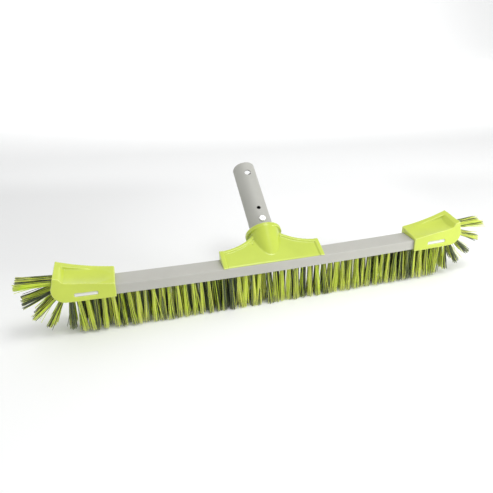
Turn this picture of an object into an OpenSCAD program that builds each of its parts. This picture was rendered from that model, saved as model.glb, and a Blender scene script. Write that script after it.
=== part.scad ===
// Pool wall brush: a bowed aluminium back over a tufted plastic body, with wrap-round
// bristles at both ends, clip-on end caps, and a socket bracket that carries the pole handle.
// Millimetres. X runs along the brush, +Y to the back where the handle leans, Z up.
// Every module is drawn with the brush centred on Y = 0; frame_shift then moves the whole
// brush so that its box is centred on the origin and its lowest bristle tip is at Z = 0.

/* [Back] */
// Half length of the aluminium back, measured along X
back_half = 206; // [190:1:215]
// Depth of the back, front to rear
back_depth = 28; // [26:0.5:32]
// Height of the back's side walls
back_height = 13; // [12:0.5:16]
// Wall thickness of the back
back_wall = 1.6; // [1.2:0.1:2]
// Radius of the bow along the whole brush
bow_radius = 8600; // [7000:100:12000]

/* [Bristles] */
// Height of the back's top face above the middle bristle tips
back_top = 58.5; // [55:0.5:64]
// Distance between neighbouring tufts along a row
tuft_pitch = 9.5; // [8:0.5:12]
// Radius of a tuft
tuft_radius = 2.3; // [1.8:0.1:2.4]
// Distance from the centre line to the inner rows
inner_row = 3; // [2.8:0.1:3.2]
// Distance from the centre line to the outer rows
outer_row = 9; // [8.4:0.2:9.4]
// Outward lean of the inner rows, degrees
inner_lean = 1.3; // [0:0.1:2]
// Outward lean of the outer rows, degrees
outer_lean = 4; // [0:0.5:5]
// Radius of a tuft in the end fans
fan_radius = 1.85; // [1.5:0.05:1.9]
// Angle between neighbouring fans, degrees
fan_step = 21; // [20:1:22]
// Free length of the fan tufts
fan_free = 43; // [35:1:46]

/* [End caps] */
// Distance from the brush's middle to a cap's inner end
cap_start = 194; // [188:1:196]
// Length of a cap
cap_length = 70; // [66:1:74]
// Width of a cap, front to rear
cap_width = 34; // [33:0.5:38]
// Sideways tilt of the cap's top, low at the front, degrees
cap_tilt = 8.5; // [0:0.5:10]

/* [Handle] */
// Outside diameter of the handle tube, to fit inside a 1-1/4 inch pole
tube_d = 31; // [30:0.1:31.4]
// Wall thickness of the handle tube
tube_wall = 1.6; // [1.2:0.1:2]
// Distance from the socket's floor to the tube's free end
tube_length = 142; // [125:1:160]
// Lean of the handle back from vertical, degrees
tube_lean = 58.7; // [55:0.1:62]
// Diameter of the pair of snap-clip holes
clip_hole_d = 9; // [7:0.1:10]
// Distance of the snap-clip holes from the free end
clip_hole_inset = 19; // [14:1:30]

/* [Bracket] */
// Half length of the bracket's wings
wing_half = 66; // [60:1:72]
// Rise of the sloped face, millimetres of height per millimetre of depth
wing_rise = 0.45; // [0.4:0.01:0.5]
// Outside radius of the socket's lip
lip_radius = 24.4; // [23:0.2:25]
// Height of the lip's top above the socket's floor
lip_top = 29; // [27:1:32]

/* [Hidden] */

$fn = 96;
eps = 0.01;
bow_fn = 2880;

// Heights of the back and the body inside it
back_bottom = back_top - back_height;
body_recess = 1;
body_under = back_bottom + body_recess;
body_fit = 0.05;
body_half_depth = back_depth / 2 - back_wall - body_fit;

// Tufts and their blind holes
root_depth = 5.5;
anchor_height = 1.1;
anchor_width = 0.4;
hole_gap = 0.05;
hole_depth = root_depth + anchor_height + 0.1;
last_column = 25;

// Body heads, drawn in the cap's own frame: u outwards, v up from the back's lower edge
mouth_wall = 2.5;
cap_wall = 2.7;
cap_drop = 2;
cap_corner = 16;
cap_end_lean = 13;
head_start = back_half - cap_start + 0.6;
head_end = cap_length - 4;
head_corner = 17;
head_half_depth = cap_width / 2 - cap_wall - 0.3;
head_centre = [head_end - head_corner, body_recess + head_corner];
end_slope = asin((cap_start + cap_length / 2) / bow_radius);

// Cap top: a long arc for the rims and a slightly flatter one for the dished floor
rim_radius = 278;
rim_centre = [-26.4, 295.4];
floor_radius = 330;
floor_centre = [-6.7, 348.7];
dish_radius = 60;
dish_half = 13.6;
dish_end = 55;
dish_wall_lean = 35;
roof_thickness = 2.4;
roof_gap = 0.5;
window_start = 20;
window_length = 26;
window_low = 4.3;
window_height = 4.4;
tab_gap = 0.3;

// Fans: five groups of tufts turn from level, past the lower corner, to nearly upright
fan_root = 3.3;
fan_hole = fan_root + anchor_height + 0.1;
fan_level_v = 20.5;
fan_groups = 5;

// Handle axis: a point on it at the socket floor, and the socket's sizes
axis_y = 16.4;
axis_z = back_top + 1.4;
socket_gap = 0.1;
spigot_gap = 0.05;
spigot_top = 54;
lip_height = 5;
socket_floor = 8;
tube_seat = socket_floor + 0.3;
shoulder_step = 0.2;
shoulder_place = 46;
lower_radius = tube_d / 2 + shoulder_step;
socket_low = -12.5;
socket_low_radius = 11.5;
socket_radius = 21;
hump_low_radius = 15.8;
hump_radius = 19.6;
hump_back = 3.3;
hump_tilt = 12;
hump_start = -4;
screw_place = 40.6;
spare_hole_place = 60;
spare_hole_d = 5.6;
clip_hole_place = tube_length - clip_hole_inset;

// Bracket plate, drawn flat in the plane of its sloped face
slope = atan(wing_rise);
plate_thickness = 3;
wing_tip = 28.2;
wing_top = 46;
flare_radius = 75;
flare_x = wing_half + 2;
rib_width = 4;
end_rib_width = 5.4;
rib_height = 1.3;
pit_place = [-21.5, 34];
pit_radius = 1.2;
pit_depth = 1;
wall_back = 27.5;
wing_wall = 2.6;
bracket_screw_x = [-52, -34, 34, 52];
bracket_screw_y = 5;

// The bracket's flat underside rests on the bowed back at its wings' tips
bracket_base = back_top + bow(wing_half);

// Fasteners
screw_shank = 1.75;
clear_hole = 2.1;
pan_radius = 3.6;
pan_height = 2;
end_screw_x = 200;
sink_radius = 3.5;

// Whole box, front to rear, for centring the frame
front_y = -cap_width / 2;
rear_y = axis_y + tube_length * sin(tube_lean) + tube_d / 2 * cos(tube_lean);
shift_y = -(front_y + rear_y) / 2;

alu = [0.73, 0.73, 0.70];
lime = [0.76, 0.86, 0.30];
off_white = [0.86, 0.86, 0.84];
dark_green = [0.17, 0.20, 0.12];
steel = [0.80, 0.80, 0.80];

// Height that the bow adds at a distance x from the middle
function bow(x) = bow_radius - sqrt(bow_radius * bow_radius - x * x);

// Height of a cap-floor arc above the back's lower edge at a distance u along the cap
function floor_height(u) = floor_centre[1] - sqrt(pow(floor_radius, 2) - pow(u - floor_centre[0], 2));

module frame_shift() {
    translate([0, shift_y, 0]) children();
}

// Sweeps a section drawn in (y, z) along the bow, to x = -half and +half at the back's top
module bowed(half) {
    turn = 2 * asin(half / (bow_radius - back_top));
    translate([0, 0, bow_radius])
        rotate([0, 0, -90])
            rotate([0, 90, 0])
                rotate([0, 0, -turn / 2])
                    rotate_extrude(angle = turn, $fn = bow_fn)
                        translate([bow_radius, 0])
                            mirror([1, 0])
                                rotate(-90)
                                    children();
}

// Puts children in the right-hand cap's frame: u along X, v along Z
module at_right_end() {
    translate([cap_start, 0, back_bottom + bow(cap_start)])
        rotate([0, -end_slope, 0])
            children();
}

module at_left_end() {
    mirror([1, 0, 0]) at_right_end() children();
}

// Extrudes an outline drawn in (u, v) to a depth of 2 * half_depth about Y = 0
module profile(half_depth) {
    rotate([90, 0, 0])
        translate([0, 0, -half_depth])
            linear_extrude(2 * half_depth)
                children();
}

// Puts children on the handle's axis, Z along the tube and -Y towards its front line
module on_handle() {
    translate([0, axis_y, axis_z]) rotate([-tube_lean, 0, 0]) children();
}

// A hole or peg from the handle's axis out through its front line
module handle_cross(radius, length, start = 0) {
    rotate([90, 0, 0]) translate([0, 0, start]) cylinder(r = radius, h = length);
}

// Aluminium back

module back_section() {
    difference() {
        translate([-back_depth / 2, back_bottom]) square([back_depth, back_height]);
        translate([-back_depth / 2 + back_wall, back_bottom - 1])
            square([back_depth - 2 * back_wall, back_height + 1 - back_wall]);
    }
}

module back_channel() {
    color(alu) difference() {
        bowed(back_half) back_section();
        for (x = bracket_screw_x)
            translate([x, bracket_screw_y, back_top - 5]) cylinder(r = clear_hole, h = 10);
        for (side = [-1, 1])
            translate([side * end_screw_x, 0, back_top + bow(end_screw_x)]) {
                translate([0, 0, -5]) cylinder(r = clear_hole, h = 10);
                translate([0, 0, -sink_radius + 1.75 + eps])
                    cylinder(r1 = 1.75, r2 = sink_radius, h = sink_radius - 1.75);
            }
    }
}

// Tufts

// One straight tuft, or with grow its blind hole, rooted in the body's underside
module row_tuft(x, y, lean, grow = 0) {
    free = (body_under - tuft_radius * sin(abs(lean))) / cos(lean);
    up = grow > 0 ? hole_depth : root_depth;
    down = grow > 0 ? 2 : free;
    translate([x, y, body_under + bow(x)])
        rotate([lean, 0, 0])
            translate([0, 0, -down])
                cylinder(r = tuft_radius + grow, h = up + down);
}

// Flat wire that holds a tuft down at the bottom of its hole
module anchor(radius, depth) {
    translate([-anchor_width / 2, -radius + 0.15, depth + 0.05])
        cube([anchor_width, 2 * radius - 0.3, anchor_height]);
}

module row_anchor(x, y, lean) {
    translate([x, y, body_under + bow(x)]) rotate([lean, 0, 0]) anchor(tuft_radius, root_depth);
}

// Outer rows stand on whole steps of the pitch and inner rows half a step between them
function row_columns(inner) = inner
    ? [for (i = [-last_column : last_column - 1]) (i + 0.5) * tuft_pitch]
    : [for (i = [-last_column : last_column]) i * tuft_pitch];

function row_y(inner) = inner ? inner_row : outer_row;
function row_lean(inner) = inner ? inner_lean : outer_lean;

module tuft_row(inner, side) {
    color(inner ? dark_green : lime)
        for (x = row_columns(inner)) row_tuft(x, side * row_y(inner), side * row_lean(inner));
}

module tufts_front_row() {
    tuft_row(false, -1);
}

module tufts_inner_front_row() {
    tuft_row(true, -1);
}

module tufts_inner_rear_row() {
    tuft_row(true, 1);
}

module tufts_rear_row() {
    tuft_row(false, 1);
}

// Moves children to fan group k's root on the head, Z pointing out along the tuft.
// Group 0 is level and stands above the corner; the others stand square to the corner.
module at_fan_root(k, y) {
    angle = k * fan_step;
    u = k == 0 ? head_end : head_centre[0] + head_corner * cos(angle);
    v = k == 0 ? fan_level_v : head_centre[1] - head_corner * sin(angle);
    translate([u, y, v]) rotate([0, 90 + angle, 0]) children();
}

module fan_tufts(inner) {
    color(inner ? dark_green : lime)
        for (k = [0 : fan_groups - 1], side = [-1, 1])
            at_fan_root(k, side * row_y(inner))
                translate([0, 0, -fan_root]) cylinder(r = fan_radius, h = fan_free + fan_root);
}

module fan_tufts_left_outer() {
    at_left_end() fan_tufts(false);
}

module fan_tufts_left_inner() {
    at_left_end() fan_tufts(true);
}

module fan_tufts_right_outer() {
    at_right_end() fan_tufts(false);
}

module fan_tufts_right_inner() {
    at_right_end() fan_tufts(true);
}

module fan_holes() {
    for (k = [0 : fan_groups - 1], inner = [true, false], side = [-1, 1])
        at_fan_root(k, side * row_y(inner))
            translate([0, 0, -fan_hole]) cylinder(r = fan_radius + hole_gap, h = fan_hole + 2);
}

module fan_anchors() {
    for (k = [0 : fan_groups - 1], inner = [true, false], side = [-1, 1])
        at_fan_root(k, side * row_y(inner)) mirror([0, 0, 1]) anchor(fan_radius, fan_root);
}

module tuft_anchors() {
    color(steel) {
        for (inner = [true, false], side = [-1, 1], x = row_columns(inner))
            row_anchor(x, side * row_y(inner), side * row_lean(inner));
        at_left_end() fan_anchors();
        at_right_end() fan_anchors();
    }
}

// Brush body

module head_outline() {
    difference() {
        union() {
            translate([head_start, body_recess])
                square([head_centre[0] - head_start, head_corner]);
            translate([head_start, head_centre[1]]) square([head_end - head_start, 20]);
            translate(head_centre) circle(head_corner);
        }
        translate(floor_centre) circle(floor_radius + roof_thickness + roof_gap, $fn = 720);
    }
}

// A latch tab with a lead-in slope on its upper side, standing out of the head's side
module latch_tab() {
    reach = cap_width / 2 - 0.6 - head_half_depth;
    tab_height = window_height - 2 * tab_gap;
    translate([window_start + tab_gap, -head_half_depth, window_low + tab_gap])
        rotate([90, 0, 90])
            linear_extrude(window_length - 2 * tab_gap)
                polygon([[1, 0], [-reach, 0], [-reach, tab_height - 1.2],
                         [-reach + 1.2, tab_height], [1, tab_height]]);
}

module head() {
    profile(head_half_depth) head_outline();
    latch_tab();
    mirror([0, 1, 0]) latch_tab();
}

module brush_body() {
    color(off_white) difference() {
        union() {
            bowed(cap_start + head_start + 0.5)
                translate([-body_half_depth, body_under])
                    square([2 * body_half_depth, back_top - back_wall - body_fit - body_under]);
            at_left_end() head();
            at_right_end() head();
        }
        for (inner = [true, false], side = [-1, 1], x = row_columns(inner))
            row_tuft(x, side * row_y(inner), side * row_lean(inner), hole_gap);
        at_left_end() fan_holes();
        at_right_end() fan_holes();
        for (x = bracket_screw_x)
            translate([x, bracket_screw_y, back_top - back_wall - pan_height - 0.3])
                cylinder(r = pan_radius + 0.4, h = 5);
        for (side = [-1, 1])
            translate([side * end_screw_x, 0, back_top + bow(end_screw_x) - 8])
                cylinder(r = screw_shank, h = 10);
    }
}

// End caps

// The outer end stands upright beside the rounded corner and leans inwards above it
module cap_outline() {
    corner = [cap_length - cap_corner, -cap_drop + cap_corner];
    top = 40;
    translate([0, -cap_drop]) square([corner[0], cap_corner]);
    polygon([[0, corner[1]], [cap_length, corner[1]],
             [cap_length - (top - corner[1]) * tan(cap_end_lean), top], [0, top]]);
    translate(corner) circle(cap_corner);
}

// A long hollow between the rims, deepest at its sloped outer wall
module dish() {
    path = floor_radius - dish_radius;
    sweep = 26;
    intersection() {
        translate([floor_centre[0], 0, floor_centre[1]])
            rotate([90, 0, 0])
                rotate([0, 0, -90 - sweep / 2])
                    rotate_extrude(angle = sweep, $fn = 720)
                        translate([path, 0]) circle(dish_radius);
        translate([dish_end, 0, floor_height(dish_end)])
            rotate([0, dish_wall_lean, 0])
                translate([-3 * cap_length, -dish_half, -3 * cap_length])
                    cube([3 * cap_length, 2 * dish_half, 6 * cap_length]);
    }
}

module cap_cavity() {
    half = cap_width / 2 - cap_wall;
    profile(half) difference() {
        translate([mouth_wall, -10]) square([cap_length, 60]);
        translate(floor_centre) circle(floor_radius + roof_thickness, $fn = 720);
    }
    profile(back_depth / 2 + body_fit)
        translate([-1, -10]) square([mouth_wall + 2, 10 + back_height + body_fit]);
}

module end_cap() {
    difference() {
        profile(cap_width / 2) cap_outline();
        rotate([cap_tilt, 0, 0])
            profile(cap_width)
                translate(rim_centre) circle(rim_radius, $fn = 720);
        rotate([cap_tilt, 0, 0]) dish();
        cap_cavity();
        translate([window_start, -cap_width, window_low])
            cube([window_length, 2 * cap_width, window_height]);
    }
}

module end_cap_left() {
    color(lime) at_left_end() end_cap();
}

module end_cap_right() {
    color(lime) at_right_end() end_cap();
}

// Handle bracket

// Outline of the sloped plate: straight along the front, flared up to the socket at the rear
module plate_outline(edge = 0, end = 0) {
    difference() {
        translate([-wing_half + end, edge]) square([2 * (wing_half - end), wing_top]);
        for (side = [-1, 1])
            translate([side * flare_x, wing_tip + flare_radius])
                circle(flare_radius + edge, $fn = 180);
    }
}

// Lays a flat outline in the sloped plane that starts at the back's upper front edge
module on_slope(low, high) {
    translate([0, -back_depth / 2, back_top])
        rotate([slope, 0, 0])
            translate([0, 0, low])
                linear_extrude(high - low)
                    children();
}

module wing_section(inset) {
    run = wall_back - inset;
    rise = wing_rise * wall_back;
    translate([-back_depth / 2, back_top])
        polygon([[inset * 3.2, -2], [inset * 3.2, inset > 0 ? 0.2 : 0], [run, rise - inset * 1.6],
                 [run, -2]]);
}

module wings() {
    difference() {
        rotate([90, 0, 90])
            translate([0, 0, -wing_half])
                linear_extrude(2 * wing_half)
                    wing_section(0);
        for (side = [-1, 1])
            translate([side * (wing_half + 20) / 2, 0, 0])
                rotate([90, 0, 90])
                    translate([0, 0, -(wing_half - 20) / 2 + wing_wall])
                        linear_extrude(wing_half - 20 - 2 * wing_wall)
                            wing_section(wing_wall);
    }
    for (x = bracket_screw_x)
        translate([x, bracket_screw_y, back_top - 1]) cylinder(r = 4, h = 7.5);
}

module plate() {
    difference() {
        on_slope(-plate_thickness, 0) plate_outline();
        on_slope(-pit_depth, 1) translate(pit_place) circle(pit_radius);
    }
    on_slope(-1, rib_height) difference() {
        plate_outline();
        plate_outline(rib_width, end_rib_width);
        translate([-wing_half + end_rib_width, -1]) square([2 * (wing_half - end_rib_width), rib_width + 2]);
    }
}

// Tapered socket with a lip round its mouth, and a tilted hump in front that ends at the lip
module socket() {
    rise = lip_top - lip_height - socket_low;
    on_handle() {
        translate([0, 0, socket_low]) cylinder(r1 = socket_low_radius, r2 = socket_radius, h = rise);
        translate([0, 0, lip_top - lip_height - eps]) cylinder(r = lip_radius, h = lip_height + eps);
        intersection() {
            translate([0, hump_back, socket_low])
                rotate([hump_tilt, 0, 0])
                    translate([0, 0, hump_start])
                        cylinder(r1 = hump_low_radius, r2 = hump_radius, h = rise - 3 * hump_start);
            translate([0, 0, socket_low - 20]) cylinder(r = 60, h = rise + 20);
        }
    }
}

module handle_bracket() {
    color(lime) difference() {
        union() {
            difference() {
                union() {
                    wings();
                    plate();
                    socket();
                }
                on_handle()
                    translate([0, 0, socket_floor])
                        cylinder(r = lower_radius + socket_gap, h = 60);
            }
            on_handle()
                translate([0, 0, socket_floor - 2])
                    cylinder(r = tube_d / 2 - tube_wall - spigot_gap, h = spigot_top - socket_floor + 2);
        }
        translate([-100, -50, bracket_base - 60]) cube([200, 100, 60]);
        for (x = bracket_screw_x)
            translate([x, bracket_screw_y, back_top - 5]) cylinder(r = screw_shank, h = 10.5);
        on_handle() translate([0, 0, screw_place]) handle_cross(screw_shank, 20, 4);
    }
}

// Handle

// The lower part is slightly thicker, and its shoulder stops the pole short of the screw
module handle_tube() {
    color(alu) on_handle() difference() {
        union() {
            translate([0, 0, tube_seat]) cylinder(r = lower_radius, h = shoulder_place - tube_seat);
            translate([0, 0, tube_seat]) cylinder(d = tube_d, h = tube_length - tube_seat);
        }
        translate([0, 0, -1]) cylinder(d = tube_d - 2 * tube_wall, h = tube_length + 2);
        translate([0, 0, screw_place]) handle_cross(clear_hole, 30);
        translate([0, 0, spare_hole_place]) handle_cross(spare_hole_d / 2, 30);
        translate([0, 0, clip_hole_place]) handle_cross(clip_hole_d / 2, 40, -20);
    }
}

// Fasteners

// A pan-head screw along +Z, its head's underside at Z = 0 and its shank below
module pan_screw(length, head_r, head_h) {
    translate([0, 0, -length]) cylinder(r = screw_shank, h = length + eps);
    difference() {
        cylinder(r = head_r, h = head_h);
        translate([0, 0, head_h - 1]) for (turn = [0, 90])
            rotate([0, 0, turn]) translate([-head_r * 0.55, -0.5, 0]) cube([head_r * 1.1, 1, 2]);
    }
}

module handle_screw() {
    color(steel) on_handle()
        translate([0, -lower_radius, screw_place])
            rotate([90, 0, 0])
                pan_screw(10, 3.8, 2.4);
}

module bracket_screws() {
    color(steel) for (x = bracket_screw_x)
        translate([x, bracket_screw_y, back_top - back_wall])
            mirror([0, 0, 1])
                pan_screw(6.5, pan_radius, pan_height);
}

module back_end_screws() {
    color(steel) for (side = [-1, 1])
        translate([side * end_screw_x, 0, back_top + bow(end_screw_x)]) {
            translate([0, 0, -7.5]) cylinder(r = screw_shank, h = 6);
            translate([0, 0, -sink_radius + 1.75]) {
                difference() {
                    cylinder(r1 = 1.75, r2 = sink_radius - 0.05, h = sink_radius - 1.8);
                    translate([0, 0, 1]) for (turn = [0, 90])
                        rotate([0, 0, turn]) translate([-1.8, -0.4, 0]) cube([3.6, 0.8, 2]);
                }
            }
        }
}

frame_shift() back_channel();
frame_shift() brush_body();
frame_shift() end_cap_left();
frame_shift() end_cap_right();
frame_shift() handle_bracket();
frame_shift() handle_tube();
frame_shift() handle_screw();
frame_shift() bracket_screws();
frame_shift() back_end_screws();
frame_shift() tufts_front_row();
frame_shift() tufts_inner_front_row();
frame_shift() tufts_inner_rear_row();
frame_shift() tufts_rear_row();
frame_shift() fan_tufts_left_outer();
frame_shift() fan_tufts_left_inner();
frame_shift() fan_tufts_right_outer();
frame_shift() fan_tufts_right_inner();
frame_shift() tuft_anchors();
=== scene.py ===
"""The looks of the pool wall brush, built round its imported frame. Metres, +X along the brush."""
import math

import bmesh
import bpy
import numpy as np
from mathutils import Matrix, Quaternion, Vector


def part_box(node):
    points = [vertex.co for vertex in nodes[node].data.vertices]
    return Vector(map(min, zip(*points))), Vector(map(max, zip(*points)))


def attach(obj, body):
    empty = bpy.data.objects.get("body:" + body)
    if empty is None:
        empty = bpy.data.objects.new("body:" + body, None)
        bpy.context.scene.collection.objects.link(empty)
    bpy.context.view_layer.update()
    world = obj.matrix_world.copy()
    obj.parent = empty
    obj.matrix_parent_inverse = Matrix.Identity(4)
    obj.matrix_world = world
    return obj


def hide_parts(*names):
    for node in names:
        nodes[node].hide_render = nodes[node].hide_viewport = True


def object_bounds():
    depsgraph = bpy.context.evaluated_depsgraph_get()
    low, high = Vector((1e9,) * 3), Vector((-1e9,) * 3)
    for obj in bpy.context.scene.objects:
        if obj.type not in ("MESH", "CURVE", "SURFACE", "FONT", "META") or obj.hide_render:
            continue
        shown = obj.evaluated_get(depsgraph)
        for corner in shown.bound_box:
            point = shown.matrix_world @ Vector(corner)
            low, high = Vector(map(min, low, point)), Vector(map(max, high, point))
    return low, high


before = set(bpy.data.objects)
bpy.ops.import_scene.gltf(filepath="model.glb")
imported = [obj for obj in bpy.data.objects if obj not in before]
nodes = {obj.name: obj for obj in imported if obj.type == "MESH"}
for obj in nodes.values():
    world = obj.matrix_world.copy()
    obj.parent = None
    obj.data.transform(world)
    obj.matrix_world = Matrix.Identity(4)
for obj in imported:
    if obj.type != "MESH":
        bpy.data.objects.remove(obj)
cad_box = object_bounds()
scene = bpy.context.scene

MM = 0.001
BODY = "root"
# Radius of the long arc that the back is bent to, and the back's sheet thickness
BOW_RADIUS = 8600 * MM
BACK_WALL = 1.6 * MM


def new_object(name, data):
    """A new object in the scene."""
    made = bpy.data.objects.new(name, data)
    scene.collection.objects.link(made)
    return made


# ---------------------------------------------------------------- camera

def make_camera():
    """Looks down on the brush from the front and a little from its left, slightly rolled."""
    back_low, back_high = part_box("back_channel")
    aim_left = 37.1 * MM
    aim_above_back = 25 * MM
    aim = Vector((-aim_left, back_low.y, back_high.z + aim_above_back))
    azimuth = math.radians(-14.4)
    elevation = math.radians(26.16)
    roll = math.radians(-1.35)
    distance = 566.2 * MM
    backwards = Vector((
        math.sin(azimuth) * math.cos(elevation),
        -math.cos(azimuth) * math.cos(elevation),
        math.sin(elevation),
    ))
    data = bpy.data.cameras.new("camera")
    data.sensor_width = 36.0
    data.lens = 34.45
    data.clip_start = 0.01
    data.clip_end = 50.0
    camera = new_object("camera", data)
    camera.location = aim + backwards * distance
    camera.rotation_mode = "QUATERNION"
    level = (-backwards).to_track_quat("-Z", "Y")
    camera.rotation_quaternion = level @ Quaternion((0, 0, 1), roll)
    scene.camera = camera


# ---------------------------------------------------------------- node helpers

def add(tree, kind, inputs=None, **settings):
    """Adds a node, sets its properties, and fills or links its inputs by name or number."""
    node = tree.nodes.new(kind)
    for key, value in settings.items():
        setattr(node, key, value)
    for key, value in (inputs or {}).items():
        if isinstance(value, bpy.types.NodeSocket):
            tree.links.new(value, node.inputs[key])
        else:
            node.inputs[key].default_value = value
    return node


def mix_colours(tree, factor, first, second):
    """A colour that goes from the first to the second as the factor goes from 0 to 1."""
    first_socket = 6
    second_socket = 7
    result_socket = 2
    node = add(tree, "ShaderNodeMix", {
        "Factor": factor, first_socket: first, second_socket: second}, data_type="RGBA")
    return node.outputs[result_socket]


def mix_values(tree, factor, first, second):
    """A value that goes from the first to the second as the factor goes from 0 to 1."""
    first_socket = 2
    second_socket = 3
    node = add(tree, "ShaderNodeMix", {
        "Factor": factor, first_socket: first, second_socket: second}, data_type="FLOAT")
    return node.outputs[0]


def shade(tree, colour, factor):
    """A colour made lighter or darker by a factor."""
    node = add(tree, "ShaderNodeVectorMath", {0: colour, "Scale": factor}, operation="SCALE")
    return node.outputs["Vector"]


def math_node(tree, operation, *values):
    """The result of one sum on values or sockets."""
    return add(tree, "ShaderNodeMath", dict(enumerate(values)), operation=operation).outputs[0]


def own_place(tree):
    """The place on the piece, which moves with it."""
    return add(tree, "ShaderNodeTexCoord").outputs["Object"]


def new_group(name, inputs, outputs):
    """An empty shader group with those (name, kind, value) inputs and (name, kind) outputs."""
    group = bpy.data.node_groups.new(name, "ShaderNodeTree")
    for label, kind, value in inputs:
        socket = group.interface.new_socket(name=label, in_out="INPUT", socket_type=kind)
        socket.default_value = value
    for label, kind in outputs:
        group.interface.new_socket(name=label, in_out="OUTPUT", socket_type=kind)
    return group, group.nodes.new("NodeGroupInput"), group.nodes.new("NodeGroupOutput")


def place(tree, group, **inputs):
    """Places a shader group in a material, with its inputs given by name."""
    node = tree.nodes.new("ShaderNodeGroup")
    node.node_tree = group
    for label, value in inputs.items():
        socket = node.inputs[label.replace("_", " ")]
        if isinstance(value, bpy.types.NodeSocket):
            tree.links.new(value, socket)
        else:
            socket.default_value = value
    return node


def new_material(name):
    """A material with one Principled shader and nothing linked to it yet."""
    material = bpy.data.materials.new(name)
    material.use_nodes = True
    tree = material.node_tree
    return material, tree, tree.nodes["Principled BSDF"]


def bump(tree, shader, height, distance, strength):
    """Gives a shader relief from a height, with its depth in metres."""
    node = add(tree, "ShaderNodeBump", {"Height": height, "Distance": distance, "Strength": strength})
    tree.links.new(node.outputs["Normal"], shader.inputs["Normal"])


# ---------------------------------------------------------------- shared effects

FLOAT = "NodeSocketFloat"
VECTOR = "NodeSocketVector"
COLOUR = "NodeSocketColor"


def colour_drift_group():
    """Slow lightening and darkening over the piece, with a finer mottle in it."""
    group, given, out = new_group(
        "colour_drift",
        [("Colour", COLOUR, (0.5, 0.5, 0.5, 1)), ("Scale", FLOAT, 20.0), ("Amount", FLOAT, 0.05)],
        [("Colour", COLOUR)],
    )
    noise = add(group, "ShaderNodeTexNoise", {
        "Vector": own_place(group), "Scale": given.outputs["Scale"], "Detail": 5.0,
        "Roughness": 0.6})
    factor = add(group, "ShaderNodeMapRange", {
        "Value": noise.outputs["Fac"], "From Min": 0.3, "From Max": 0.7,
        "To Min": math_node(group, "SUBTRACT", 1.0, given.outputs["Amount"]),
        "To Max": math_node(group, "ADD", 1.0, given.outputs["Amount"])})
    shaded = shade(group, given.outputs["Colour"], factor.outputs["Result"])
    group.links.new(shaded, out.inputs["Colour"])
    return group


def surface_grain_group():
    """Relief and gloss of a painted or moulded skin: fine grain on long, low waves."""
    group, given, out = new_group(
        "surface_grain",
        [("Grain Scale", FLOAT, 900.0), ("Wave Scale", FLOAT, 60.0), ("Waves", FLOAT, 0.5),
         ("Roughness", FLOAT, 0.4), ("Spread", FLOAT, 0.08)],
        [("Height", FLOAT), ("Roughness", FLOAT)],
    )
    place_on = own_place(group)
    grain = add(group, "ShaderNodeTexNoise", {
        "Vector": place_on, "Scale": given.outputs["Grain Scale"], "Detail": 3.0,
        "Roughness": 0.55})
    waves = add(group, "ShaderNodeTexNoise", {
        "Vector": place_on, "Scale": given.outputs["Wave Scale"], "Detail": 2.0})
    height = mix_values(
        group, given.outputs["Waves"], grain.outputs["Fac"], waves.outputs["Fac"])
    noise_middle = 0.5
    centred = math_node(group, "SUBTRACT", waves.outputs["Fac"], noise_middle)
    rough = math_node(
        group, "MULTIPLY_ADD", centred, given.outputs["Spread"], given.outputs["Roughness"])
    group.links.new(height, out.inputs["Height"])
    group.links.new(rough, out.inputs["Roughness"])
    return group


def edge_wear_and_highlight_group():
    """A mask that is 1 on outer edges, broken up so that no line is even: wear on metal, painted
    highlight on plastic.
    """
    group, given, out = new_group(
        "edge_wear_and_highlight",
        [("Start", FLOAT, 0.53), ("Width", FLOAT, 0.06), ("Break Up", FLOAT, 300.0)],
        [("Mask", FLOAT)],
    )
    edge = add(group, "ShaderNodeNewGeometry").outputs["Pointiness"]
    sharp = add(group, "ShaderNodeMapRange", {
        "Value": edge, "From Min": given.outputs["Start"],
        "From Max": math_node(group, "ADD", given.outputs["Start"], given.outputs["Width"])})
    broken = add(group, "ShaderNodeTexNoise", {
        "Vector": own_place(group), "Scale": given.outputs["Break Up"], "Detail": 3.0})
    mask = math_node(group, "MULTIPLY", sharp.outputs["Result"], broken.outputs["Fac"])
    group.links.new(mask, out.inputs["Mask"])
    return group


def hollow_shade_group():
    """A mask that is 1 in inner corners, where shade is painted."""
    group, given, out = new_group(
        "hollow_shade",
        [("Start", FLOAT, 0.49), ("Width", FLOAT, 0.06)],
        [("Mask", FLOAT)],
    )
    edge = add(group, "ShaderNodeNewGeometry").outputs["Pointiness"]
    mask = add(group, "ShaderNodeMapRange", {
        "Value": edge, "From Min": given.outputs["Start"],
        "From Max": math_node(group, "SUBTRACT", given.outputs["Start"], given.outputs["Width"])})
    group.links.new(mask.outputs["Result"], out.inputs["Mask"])
    return group


def drawn_lines_group():
    """Faint lines, as extrusion and drawing leave them in metal, along the least stretched axis."""
    group, given, out = new_group(
        "drawn_lines",
        [("Stretch", VECTOR, (1.0, 60.0, 60.0)), ("Scale", FLOAT, 20.0)],
        [("Height", FLOAT)],
    )
    stretched = add(group, "ShaderNodeVectorMath", {
        0: own_place(group), 1: given.outputs["Stretch"]}, operation="MULTIPLY")
    lines = add(group, "ShaderNodeTexNoise", {
        "Vector": stretched.outputs["Vector"], "Scale": given.outputs["Scale"], "Detail": 4.0})
    group.links.new(lines.outputs["Fac"], out.inputs["Height"])
    return group


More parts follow.
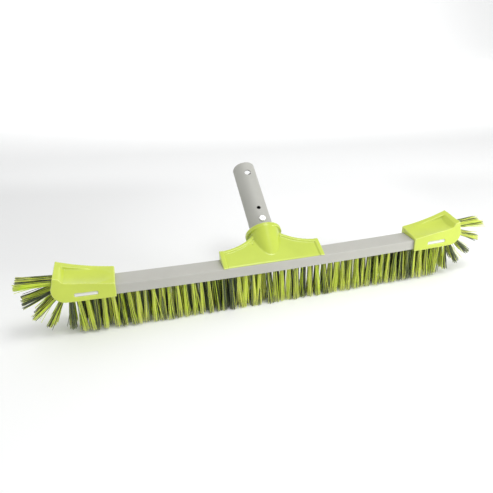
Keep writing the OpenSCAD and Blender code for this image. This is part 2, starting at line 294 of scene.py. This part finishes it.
def inside_round_group():
    """A mask that is 1 within a radius of a straight line: the inside of a tube."""
    group, given, out = new_group(
        "inside_round",
        [("Centre", VECTOR, (0.0, 0.0, 0.0)), ("Axis", VECTOR, (0.0, 0.0, 1.0)),
         ("Radius", FLOAT, 0.01)],
        [("Mask", FLOAT)],
    )
    away = add(group, "ShaderNodeVectorMath", {
        0: own_place(group), 1: given.outputs["Centre"]}, operation="SUBTRACT")
    across = add(group, "ShaderNodeVectorMath", {
        0: away.outputs["Vector"], 1: given.outputs["Axis"]}, operation="CROSS_PRODUCT")
    distance = add(group, "ShaderNodeVectorMath", {0: across.outputs["Vector"]}, operation="LENGTH")
    mask = math_node(group, "LESS_THAN", distance.outputs["Value"], given.outputs["Radius"])
    group.links.new(mask, out.inputs["Mask"])
    return group


DRIFT = colour_drift_group()
GRAIN = surface_grain_group()
EDGE_WEAR_AND_HIGHLIGHT = edge_wear_and_highlight_group()
CORNER_SHADE = hollow_shade_group()
LINES = drawn_lines_group()
INSIDE = inside_round_group()


# ---------------------------------------------------------------- materials

def moulded_plastic(name, colour, edge_highlight_colour, roughness, coat, drift_amount):
    """Moulded plastic: fine grain, low flow waves, a painted highlight on outer edges and painted
    shade in inner corners.
    """
    material, tree, shader = new_material(name)
    corner_shade_depth = 0.62
    corner_shade_colour = tuple(corner_shade_depth * part for part in colour)
    drift = place(tree, DRIFT, Colour=(*colour, 1), Scale=26.0, Amount=drift_amount)
    # Painted shade: inner corners are made darker, as if less light reached them.
    corner_shade_mask = place(tree, CORNER_SHADE, Start=0.495, Width=0.07)
    shaded = mix_colours(
        tree, corner_shade_mask.outputs["Mask"], drift.outputs["Colour"], (*corner_shade_colour, 1))
    # Painted highlight: outer edges are made paler, as if the lamps glinted along them.
    wear_and_highlight = place(tree, EDGE_WEAR_AND_HIGHLIGHT, Start=0.51, Width=0.05, Break_Up=220.0)
    worn_and_highlighted = mix_colours(tree, wear_and_highlight.outputs["Mask"], shaded, (*edge_highlight_colour, 1))
    grain = place(tree, GRAIN, Grain_Scale=1400.0, Wave_Scale=45.0, Waves=0.35,
                  Roughness=roughness, Spread=0.16)
    tree.links.new(worn_and_highlighted, shader.inputs["Base Color"])
    tree.links.new(grain.outputs["Roughness"], shader.inputs["Roughness"])
    shader.inputs["Coat Weight"].default_value = coat
    shader.inputs["Coat Roughness"].default_value = 0.12
    bump(tree, shader, grain.outputs["Height"], distance=0.12 * MM, strength=0.5)
    return material


def painted_aluminium(name, colour, stretch, rub_start):
    """Enamel over drawn aluminium: faint lines under the skin, bare metal on edges that rub."""
    material, tree, shader = new_material(name)
    bare_metal = (0.72, 0.72, 0.70, 1)
    lines_share = 0.12
    drift = place(tree, DRIFT, Colour=(*colour, 1), Scale=14.0, Amount=0.045)
    wear_and_highlight = place(tree, EDGE_WEAR_AND_HIGHLIGHT, Start=rub_start, Width=0.08, Break_Up=420.0)
    worn_and_highlighted = mix_colours(tree, wear_and_highlight.outputs["Mask"], drift.outputs["Colour"], bare_metal)
    grain = place(tree, GRAIN, Grain_Scale=2200.0, Wave_Scale=30.0, Waves=0.2,
                  Roughness=0.58, Spread=0.14)
    lines = place(tree, LINES, Stretch=stretch, Scale=14.0)
    height = mix_values(tree, lines_share, grain.outputs["Height"], lines.outputs["Height"])
    tree.links.new(worn_and_highlighted, shader.inputs["Base Color"])
    tree.links.new(grain.outputs["Roughness"], shader.inputs["Roughness"])
    shader.inputs["Metallic"].default_value = 0.06
    bump(tree, shader, height, distance=0.1 * MM, strength=0.45)
    return material


def paint_inside_shade(material, centre, axis, radius, colour):
    """Paints shade into a painted tube: its bare metal bore is coloured dark grey, as it looks in
    shadow.
    """
    tree = material.node_tree
    shader = tree.nodes["Principled BSDF"]
    outside = shader.inputs["Base Color"].links[0].from_socket
    inside = place(tree, INSIDE, Centre=centre, Axis=axis, Radius=radius)
    mixed = mix_colours(tree, inside.outputs["Mask"], outside, (*colour, 1))
    tree.links.new(mixed, shader.inputs["Base Color"])


def tube_line(node):
    """Centre, direction and bore radius of a straight tube, measured on its mesh.

    Its walls' normals point along the tube least of all, which gives the direction.
    """
    mesh = nodes[node].data
    spread = np.zeros((3, 3))
    for face in mesh.polygons:
        normal = np.array(face.normal)
        spread += face.area * np.outer(normal, normal)
    axis = np.linalg.eigh(spread)[1][:, 0]
    points = np.array([vert.co[:] for vert in mesh.vertices])
    across = points - np.outer(points @ axis, axis)
    centre = (across.max(0) + across.min(0)) / 2
    return centre, axis, float(np.linalg.norm(across - centre, axis=1).min())


def turned_steel(name, colour, roughness, metallic):
    """Steel with fine machining lines; a bright plated one is less metallic than bare wire."""
    material, tree, shader = new_material(name)
    drift = place(tree, DRIFT, Colour=(*colour, 1), Scale=120.0, Amount=0.06)
    lines = place(tree, LINES, Stretch=(1.0, 40.0, 40.0), Scale=60.0)
    grain = place(tree, GRAIN, Grain_Scale=3000.0, Wave_Scale=200.0, Waves=0.5,
                  Roughness=roughness, Spread=0.2)
    tree.links.new(drift.outputs["Colour"], shader.inputs["Base Color"])
    tree.links.new(grain.outputs["Roughness"], shader.inputs["Roughness"])
    shader.inputs["Metallic"].default_value = metallic
    bump(tree, shader, lines.outputs["Height"], distance=0.05 * MM, strength=0.4)
    return material


def nylon_filament(name, dark, light, tip, roughness):
    """Filaments: each has its own tone, and its cut tip is paler than its root."""
    material, tree, shader = new_material(name)
    tone = add(tree, "ShaderNodeAttribute", attribute_name="tone").outputs["Fac"]
    along = add(tree, "ShaderNodeAttribute", attribute_name="along").outputs["Fac"]
    body = mix_colours(tree, tone, (*dark, 1), (*light, 1))
    near_tip = add(tree, "ShaderNodeMapRange", {
        "Value": along, "From Min": 0.8, "From Max": 1.0, "To Min": 0.0, "To Max": 0.55})
    tipped = mix_colours(tree, near_tip.outputs["Result"], body, (*tip, 1))
    grain = place(tree, GRAIN, Grain_Scale=2600.0, Wave_Scale=300.0, Waves=0.5,
                  Roughness=roughness, Spread=0.25)
    tree.links.new(tipped, shader.inputs["Base Color"])
    tree.links.new(grain.outputs["Roughness"], shader.inputs["Roughness"])
    shader.inputs["Specular IOR Level"].default_value = 0.45
    shader.inputs["Subsurface Weight"].default_value = 0.6
    shader.inputs["Subsurface Radius"].default_value = (1.0, 1.0, 0.5)
    shader.inputs["Subsurface Scale"].default_value = 1.5 * MM
    bump(tree, shader, grain.outputs["Height"], distance=0.05 * MM, strength=0.4)
    return material


def distance_along(tree, direction):
    """How far a point lies from the middle of the brush, in a level direction."""
    return add(tree, "ShaderNodeVectorMath", {
        0: own_place(tree), 1: direction}, operation="DOT_PRODUCT").outputs["Value"]


def fade(tree, value, start, end, rising):
    """Goes smoothly from 0 to 1 between two distances, or from 1 to 0 if it isn't rising."""
    return add(tree, "ShaderNodeMapRange", {
        "Value": value, "From Min": start, "From Max": end,
        "To Min": 0.0 if rising else 1.0, "To Max": 1.0 if rising else 0.0},
        interpolation_type="SMOOTHSTEP").outputs["Result"]


def studio_paper(name):
    """The pale sweep under the brush, with a band of painted shade across it behind the brush,
    darkest at its sides.
    """
    material, tree, shader = new_material(name)
    band_middle = 0.25
    band_shade = 0.88
    drift = place(tree, DRIFT, Colour=(0.965, 0.97, 0.97, 1), Scale=2.0, Amount=0.004)
    away = distance_along(tree, (0.249, 0.969, 0.0))
    sideways = distance_along(tree, (0.969, -0.249, 0.0))
    near = fade(tree, away, -0.10, 0.06, rising=True)
    far = fade(tree, away, 0.34, 0.52, rising=False)
    left = fade(tree, sideways, -0.34, -0.02, rising=False)
    right = fade(tree, sideways, 0.24, 0.40, rising=True)
    # Painted shade: the paper is darkened in this band, as if the lamps' light fell off there.
    across = math_node(tree, "MULTIPLY", near, far)
    beside = add(tree, "ShaderNodeMapRange", {
        "Value": math_node(tree, "MAXIMUM", left, right), "To Min": band_middle, "To Max": 1.0})
    shade_band = math_node(tree, "MULTIPLY", across, beside.outputs["Result"])
    light = add(tree, "ShaderNodeMapRange", {
        "Value": shade_band, "To Min": 1.0, "To Max": band_shade})
    shaded = shade(tree, drift.outputs["Colour"], light.outputs["Result"])
    tree.links.new(shaded, shader.inputs["Base Color"])
    shader.inputs["Roughness"].default_value = 0.75
    shader.inputs["Specular IOR Level"].default_value = 0.2
    return material


LIME_SKIN = dict(edge_highlight_colour=(0.82, 0.88, 0.36), roughness=0.34, coat=0.5, drift_amount=0.05)
LIME = moulded_plastic("lime_plastic", (0.55, 0.655, 0.060), **LIME_SKIN)
# Painted shade: the bracket gets a darker copy of the same lime plastic, so that its wings, lit from
# above, are no brighter than the caps.
LIME_SHADED_FOR_BRACKET = moulded_plastic("lime_plastic_shaded_for_bracket", (0.50, 0.61, 0.055), **LIME_SKIN)
OFF_WHITE = moulded_plastic(
    "off_white_plastic", (0.74, 0.74, 0.72), edge_highlight_colour=(0.8, 0.8, 0.79),
    roughness=0.5, coat=0.0, drift_amount=0.03)
BACK_PAINT = painted_aluminium(
    "grey_back_enamel", (0.47, 0.465, 0.425), stretch=(1.0, 60.0, 60.0), rub_start=0.54)
# The tube's edges are not rubbed, so its start is one that no edge reaches
TUBE_PAINT = painted_aluminium(
    "grey_tube_enamel", (0.435, 0.435, 0.40), stretch=(60.0, 1.0, 1.6), rub_start=0.95)
STEEL = turned_steel("bright_steel", (0.93, 0.93, 0.92), roughness=0.3, metallic=0.5)
WIRE = turned_steel("staking_wire", (0.66, 0.64, 0.60), roughness=0.4, metallic=1.0)
GREEN_NYLON = nylon_filament(
    "green_nylon", dark=(0.62, 0.86, 0.05), light=(0.92, 1.0, 0.19), tip=(0.88, 0.96, 0.38),
    roughness=0.36)
DARK_NYLON = nylon_filament(
    "dark_nylon", dark=(0.014, 0.022, 0.008), light=(0.15, 0.19, 0.10), tip=(0.24, 0.27, 0.15),
    roughness=0.32)


def dress(obj, material):
    """Gives an object one material, and nothing else."""
    obj.data.materials.clear()
    obj.data.materials.append(material)


# ---------------------------------------------------------------- moulded pieces

MOULD_VOXEL = 0.7 * MM
WELD_WITHIN = 0.005 * MM


def finish_piece(piece, material, replaced):
    """Gives a piece its material, and makes it ride on the brush and stand for CAD nodes."""
    dress(piece, material)
    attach(piece, BODY)
    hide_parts(*replaced)


def softened(name, node, material, passes):
    """A copy of a moulded CAD node with the small rounds that a mould leaves on every edge."""
    piece = new_object(name, nodes[node].data.copy())
    weld = piece.modifiers.new("weld", "WELD")
    weld.merge_threshold = WELD_WITHIN
    remesh = piece.modifiers.new("even_mesh", "REMESH")
    remesh.mode = "VOXEL"
    remesh.voxel_size = MOULD_VOXEL
    smooth = piece.modifiers.new("round_edges", "SMOOTH")
    smooth.factor = 0.5
    smooth.iterations = passes
    graph = bpy.context.evaluated_depsgraph_get()
    mesh = bpy.data.meshes.new_from_object(piece.evaluated_get(graph))
    piece.modifiers.clear()
    piece.data = mesh
    mesh.name = name
    mesh.shade_smooth()
    finish_piece(piece, material, [node])


# ---------------------------------------------------------------- aluminium back

def bow(x):
    """Height that the bow adds at a distance x from the middle."""
    return BOW_RADIUS - math.sqrt(BOW_RADIUS * BOW_RADIUS - x * x)


CORNER_STEPS = 5
BACK_STATIONS = 97
CREASE_DEGREES = 40


def rounded_corner(corner_y, corner_z, radius):
    """Points of a quarter round inside an upper corner, from its side up to its top."""
    turns = [i * math.pi / 2 / CORNER_STEPS for i in range(CORNER_STEPS + 1)]
    return [
        (corner_y - radius + radius * math.cos(turn), corner_z - radius + radius * math.sin(turn))
        for turn in turns
    ]


def back_section(half_depth, height, wall, outer_round, inner_round, lip):
    """Half of the channel's outline, on +Y: outside and inside, each from its lower edge up."""
    inner = half_depth - wall
    outside = [(inner + lip, 0), (half_depth - lip, 0), (half_depth, lip)]
    outside += rounded_corner(half_depth, height, outer_round)
    inside = [(inner, lip)]
    inside += rounded_corner(inner, height - wall, inner_round)
    return outside, inside


def make_back():
    """The bent channel with rounded corners, swept along the bow."""
    low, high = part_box("back_channel")
    half = high.x
    half_depth = (high.y - low.y) / 2
    middle_y = (high.y + low.y) / 2
    height = high.z - low.z - bow(half)
    outside, inside = back_section(
        half_depth, height, BACK_WALL, outer_round=1.3 * MM, inner_round=0.4 * MM, lip=0.35 * MM)
    ring = outside + [(-y, z) for y, z in reversed(outside)]
    ring += [(-y, z) for y, z in inside] + list(reversed(inside))
    shape = bmesh.new()
    rows = []
    for i in range(BACK_STATIONS):
        x = -half + 2 * half * i / (BACK_STATIONS - 1)
        lift = low.z + bow(x)
        rows.append([shape.verts.new((x, middle_y + y, lift + z)) for y, z in ring])
    count = len(ring)
    for i in range(BACK_STATIONS - 1):
        for j in range(count):
            k = (j + 1) % count
            shape.faces.new((rows[i][j], rows[i][k], rows[i + 1][k], rows[i + 1][j]))
    shape.faces.new(reversed(rows[0]))
    shape.faces.new(rows[-1])
    bmesh.ops.recalc_face_normals(shape, faces=shape.faces)
    mesh = bpy.data.meshes.new("bent_back")
    shape.to_mesh(mesh)
    shape.free()
    mesh.shade_smooth()
    mesh.set_sharp_from_angle(angle=math.radians(CREASE_DEGREES))
    finish_piece(new_object("bent_back", mesh), BACK_PAINT, ["back_channel"])


# ---------------------------------------------------------------- bristles

FILAMENT_RADIUS = 0.36 * MM
FILAMENT_SIDES = 4
FILAMENT_RINGS = 5
FILAMENTS_A_TUFT = 28
STRAY_SHARE = 0.05
STRAY_WANDER = 3.0
# How far a filament bows, how unevenly the filaments are cut, and how late they fan out
FILAMENT_BOW = 0.45 * MM
UNEVEN_CUT = 0.011
FAN_CURVE = 1.4
# Share of a tuft's lean along the brush that it also leans across it
LEAN_ACROSS = 0.35
# Tone from dark 0 to light 1: its middle, and how much it varies by tuft and by filament
TONE_MIDDLE = 0.55
TONE_BY_TUFT = 0.16
TONE_BY_FILAMENT = 0.3
# How loosely the two colours of a tuft are sorted to its two sides
MIXED_UP = 0.4
SAME_POINT = 0.002 * MM
AXIS_ROUNDS = 2
SHARP_DEGREES = 100
ACROSS_BRUSH = (0.0, 1.0, 0.0)


def tuft_axes(node):
    """(root, tip, radius) of every tuft in a CAD node, read from its separate solids.

    The root is the end that is higher, or nearer the middle of the brush.
    """
    shape = bmesh.new()
    shape.from_mesh(nodes[node].data)
    bmesh.ops.remove_doubles(shape, verts=shape.verts, dist=SAME_POINT)
    seen = set()
    found = []
    for start in shape.verts:
        if start in seen:
            continue
        seen.add(start)
        island = [start]
        for vert in island:
            for edge in vert.link_edges:
                other = edge.other_vert(vert)
                if other not in seen:
                    seen.add(other)
                    island.append(other)
        points = np.array([vert.co[:] for vert in island])
        centre = (points.min(0) + points.max(0)) / 2
        for _ in range(AXIS_ROUNDS):
            direction = np.linalg.svd(points - centre, full_matrices=False)[2][0]
            steps = (points - centre) @ direction
            centre = centre + direction * (steps.max() + steps.min()) / 2
            steps = (points - centre) @ direction
        across = points - centre - np.outer(steps, direction)
        ends = [centre + direction * steps.min(), centre + direction * steps.max()]
        ends.sort(key=lambda p: abs(p[0]) - p[2])
        found.append((ends[0], ends[1], float(np.linalg.norm(across, axis=1).max())))
    shape.free()
    places = 4
    found.sort(key=lambda tuft: (
        round(tuft[0][0], places), round(tuft[0][1], places), round(tuft[1][2], places)))
    return found


def filament_line(random, tuft, turn, lean, spread, wander):
    """Points of one filament's middle line: rooted in its tuft and fanned out towards its tip."""
    root, tip, radius = tuft
    axis = tip - root
    length = np.linalg.norm(axis)
    axis = axis / length
    side = np.cross(axis, ACROSS_BRUSH)
    side = side / np.linalg.norm(side)
    front = np.cross(side, axis)
    reach = (radius - FILAMENT_RADIUS) * math.sqrt(random.random())
    offset = side * (reach * math.cos(turn)) + front * (reach * math.sin(turn))
    drift = side * random.normal(0, wander) + front * random.normal(0, wander)
    if random.random() < STRAY_SHARE:
        drift = drift * STRAY_WANDER
    bend = side * random.normal(0, FILAMENT_BOW) + front * random.normal(0, FILAMENT_BOW)
    own = length * (1 - abs(random.normal(0, UNEVEN_CUT)))
    t = np.linspace(0, 1, FILAMENT_RINGS)[:, None]
    sway = (offset * spread + lean + drift) * t ** FAN_CURVE
    return root + offset + axis * (own * t) + sway + bend * np.sin(np.pi * t)


def tube_points(lines):
    """Points of a thin tube round each line, ring by ring, kept inside the CAD model's box."""
    low, high = (np.array(corner) for corner in cad_box)
    inset = 2 * FILAMENT_RADIUS
    lines = np.clip(lines, low + (inset, inset, 0), high - inset)
    tangent = lines[:, -1] - lines[:, 0]
    tangent = tangent / np.linalg.norm(tangent, axis=1)[:, None]
    side = np.cross(tangent, ACROSS_BRUSH)
    side = side / np.linalg.norm(side, axis=1)[:, None]
    front = np.cross(side, tangent)
    angles = np.arange(FILAMENT_SIDES) * 2 * math.pi / FILAMENT_SIDES
    ring = (side[:, None, :] * np.cos(angles)[None, :, None]
            + front[:, None, :] * np.sin(angles)[None, :, None]) * FILAMENT_RADIUS
    points = lines[:, :, None, :] + ring[:, None, :, :]
    return np.clip(points, low, high).reshape(-1, 3)


def tube_faces(count):
    """Faces of that many tubes, each closed at both ends; every face has four corners."""
    points_each = FILAMENT_RINGS * FILAMENT_SIDES
    one = []
    for i in range(FILAMENT_RINGS - 1):
        for j in range(FILAMENT_SIDES):
            k = (j + 1) % FILAMENT_SIDES
            below = i * FILAMENT_SIDES
            above = below + FILAMENT_SIDES
            one.append((below + j, above + j, above + k, below + k))
    one.append(tuple(range(FILAMENT_SIDES)))
    one.append(tuple(reversed(range(points_each - FILAMENT_SIDES, points_each))))
    firsts = np.arange(count) * points_each
    return (np.array(one)[None] + firsts[:, None, None]).reshape(-1, FILAMENT_SIDES)


def build_filaments(name, lines, tones, material, replaced):
    """One mesh of many filaments, with each point's tone and place along its filament."""
    count = len(lines)
    mesh = bpy.data.meshes.new(name)
    mesh.from_pydata(tube_points(np.array(lines)).tolist(), [], tube_faces(count).tolist())
    steps = np.repeat(np.linspace(0, 1, FILAMENT_RINGS), FILAMENT_SIDES)
    for label, values in (
            ("tone", np.repeat(tones, FILAMENT_RINGS * FILAMENT_SIDES)),
            ("along", np.tile(steps, count))):
        attribute = mesh.attributes.new(label, "FLOAT", "POINT")
        attribute.data.foreach_set("value", values.astype(np.float32))
    mesh.shade_smooth()
    mesh.set_sharp_from_angle(angle=math.radians(SHARP_DEGREES))
    finish_piece(new_object(name, mesh), material, replaced)


def make_bristles(name, cad_nodes, green_shares, seed, lean_x, spread, wander):
    """Splits the tufts of some CAD nodes into green and dark filaments, one piece of each."""
    random = np.random.default_rng(seed)
    lines = {"green": [], "dark": []}
    tones = {"green": [], "dark": []}
    for node in cad_nodes:
        for tuft in tuft_axes(node):
            share = random.choice(green_shares)
            lean = np.array((
                random.normal(0, lean_x), random.normal(0, lean_x * LEAN_ACROSS), 0.0))
            tuft_tone = random.normal(TONE_MIDDLE, TONE_BY_TUFT)
            green_side = random.random() * 2 * math.pi
            for _ in range(FILAMENTS_A_TUFT):
                turn = random.random() * 2 * math.pi
                level = 0.5 + 0.5 * math.cos(turn - green_side) + random.normal(0, MIXED_UP)
                kind = "green" if level > 1 - share else "dark"
                lines[kind].append(filament_line(random, tuft, turn, lean, spread, wander))
                tone = tuft_tone + random.normal(0, TONE_BY_FILAMENT)
                tones[kind].append(min(1.0, max(0.0, tone)))
    for kind, material in (("green", GREEN_NYLON), ("dark", DARK_NYLON)):
        build_filaments(
            f"{name}_{kind}", lines[kind], tones[kind], material, cad_nodes)


# ---------------------------------------------------------------- studio

def make_sweep():
    """A floor that curves up into a wall well behind the brush."""
    floor_z = cad_box[0].z
    near = -4.0
    rise_start = 2.6
    round_radius = 1.2
    top = 4.0
    half_width = 6.0
    steps = 24
    profile = [(near, floor_z), (rise_start, floor_z)]
    for i in range(1, steps + 1):
        turn = i * math.pi / 2 / steps
        profile.append((rise_start + round_radius * math.sin(turn),
                        floor_z + round_radius * (1 - math.cos(turn))))
    profile.append((rise_start + round_radius, top))
    shape = bmesh.new()
    left = [shape.verts.new((-half_width, y, z)) for y, z in profile]
    right = [shape.verts.new((half_width, y, z)) for y, z in profile]
    for i in range(len(profile) - 1):
        shape.faces.new((left[i], right[i], right[i + 1], left[i + 1]))
    mesh = bpy.data.meshes.new("paper_sweep")
    shape.to_mesh(mesh)
    shape.free()
    mesh.shade_smooth()
    sweep = new_object("paper_sweep", mesh)
    dress(sweep, studio_paper("studio_paper"))


def softbox(name, place_at, size, power, aim):
    """A square soft light that faces a point."""
    data = bpy.data.lights.new(name, "AREA")
    data.shape = "SQUARE"
    data.size = size
    data.energy = power
    light = new_object(name, data)
    light.location = place_at
    light.rotation_mode = "QUATERNION"
    light.rotation_quaternion = (Vector(aim) - Vector(place_at)).to_track_quat("-Z", "Y")


def light_studio():
    """Even white surroundings, soft lights above and at the front right, and one on the wall."""
    world = bpy.data.worlds.new("studio_air")
    scene.world = world
    world.use_nodes = True
    air = world.node_tree.nodes["Background"]
    air.inputs["Color"].default_value = (1.0, 1.0, 1.0, 1)
    air.inputs["Strength"].default_value = 0.70
    softbox("light_above", (0.25, -0.3, 1.3), size=0.6, power=6.2, aim=(0, 0, 0))
    softbox("light_front_right", (0.8, -0.6, 0.3), size=0.35, power=3.8, aim=(0.2, 0, 0.05))
    softbox("light_on_wall", (0.6, 1.5, 1.4), size=1.4, power=40.0, aim=(0.9, 3.2, 0.3))
    scene.view_settings.view_transform = "Standard"


# ---------------------------------------------------------------- the brush

make_camera()
light_studio()
make_sweep()

make_back()
softened("left_cap", "end_cap_left", LIME, passes=7)
softened("right_cap", "end_cap_right", LIME, passes=7)
softened("bracket", "handle_bracket", LIME_SHADED_FOR_BRACKET, passes=6)

# Shares of green filaments that a tuft may have
OUTER_SHARES = [1.0, 0.95, 0.9, 0.75, 0.55, 0.3]
INNER_SHARES = [0.6, 0.35, 0.2, 0.1, 0.0]
FAN_SHARES = [1.0, 0.9, 0.7, 0.4, 0.1]
# How far tufts lean, and how far their filaments spread and wander
ROW_SWAY = dict(lean_x=2.0 * MM, spread=0.8, wander=1.0 * MM)
FAN_SWAY = dict(lean_x=1.6 * MM, spread=0.7, wander=1.3 * MM)
make_bristles("front_row", ["tufts_front_row"], OUTER_SHARES, seed=11, **ROW_SWAY)
make_bristles("rear_row", ["tufts_rear_row"], OUTER_SHARES, seed=12, **ROW_SWAY)
make_bristles("inner_rows", ["tufts_inner_front_row", "tufts_inner_rear_row"],
              INNER_SHARES, seed=13, **ROW_SWAY)
make_bristles("left_fans", ["fan_tufts_left_outer", "fan_tufts_left_inner"],
              FAN_SHARES, seed=14, **FAN_SWAY)
make_bristles("right_fans", ["fan_tufts_right_outer", "fan_tufts_right_inner"],
              FAN_SHARES, seed=15, **FAN_SWAY)

INSIDE_MARGIN = 0.2 * MM
# Painted shade: a dark grey for the inside of the handle's tube.
TUBE_INSIDE_SHADE = (0.11, 0.11, 0.105)
tube_centre, tube_axis, tube_bore = tube_line("handle_tube")
paint_inside_shade(TUBE_PAINT, tube_centre, tube_axis, tube_bore + INSIDE_MARGIN, TUBE_INSIDE_SHADE)
dress(nodes["handle_tube"], TUBE_PAINT)
dress(nodes["brush_body"], OFF_WHITE)
for screw in ("handle_screw", "bracket_screws", "back_end_screws"):
    dress(nodes[screw], STEEL)
dress(nodes["tuft_anchors"], WIRE)
